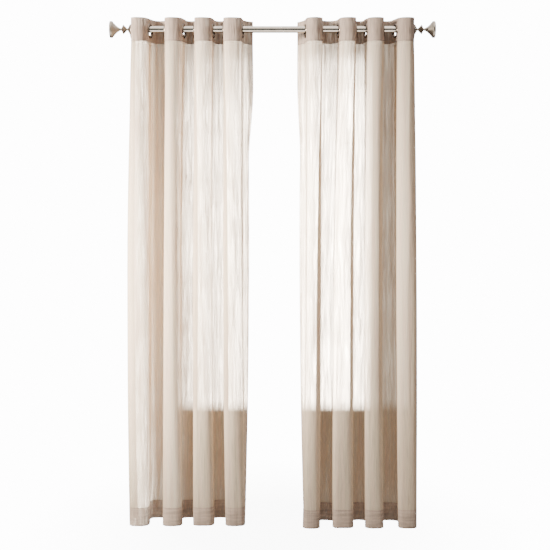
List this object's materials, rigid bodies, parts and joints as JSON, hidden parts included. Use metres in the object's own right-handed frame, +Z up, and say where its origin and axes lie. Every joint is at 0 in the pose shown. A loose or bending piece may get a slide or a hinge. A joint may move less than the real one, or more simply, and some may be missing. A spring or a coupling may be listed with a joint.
{
  "type": "sheer curtain pair on rod",
  "caption": "Pair of sheer voile eyelet curtains hanging in soft folds on a metal rod with trumpet finials and wall brackets.",
  "frame": {"origin": "on the wall's plane, midway between the two brackets and level with the rod's axis", "axes": "+Z up, +Y into the wall, +X along the rod to the right as seen from the room"},
  "size_m": [1.361, 0.1572, 2.156],
  "materials": {
    "voile": "sheer crinkled voile with fine vertical slubs, warm beige",
    "doubled_voile": "the same voile folded double for the heading band",
    "ring_nickel": "satin nickel plate",
    "rod_nickel": "brushed nickel",
    "bracket_nickel": "satin nickel"
  },
  "bodies": {
    "root": {"left_heading": "doubled_voile", "right_heading": "doubled_voile", "left_panel": "voile", "right_panel": "voile", "left_ring_1": "ring_nickel", "left_ring_2": "ring_nickel", "left_ring_3": "ring_nickel", "left_ring_4": "ring_nickel", "left_ring_5": "ring_nickel", "left_ring_6": "ring_nickel", "left_ring_7": "ring_nickel", "left_ring_8": "ring_nickel", "right_ring_1": "ring_nickel", "right_ring_2": "ring_nickel", "right_ring_3": "ring_nickel", "right_ring_4": "ring_nickel", "right_ring_5": "ring_nickel", "right_ring_6": "ring_nickel", "right_ring_7": "ring_nickel", "right_ring_8": "ring_nickel", "rod": "rod_nickel", "finial_left": "rod_nickel", "finial_right": "rod_nickel", "bracket_left": "bracket_nickel", "bracket_right": "bracket_nickel"}
  },
  "joints": []
}
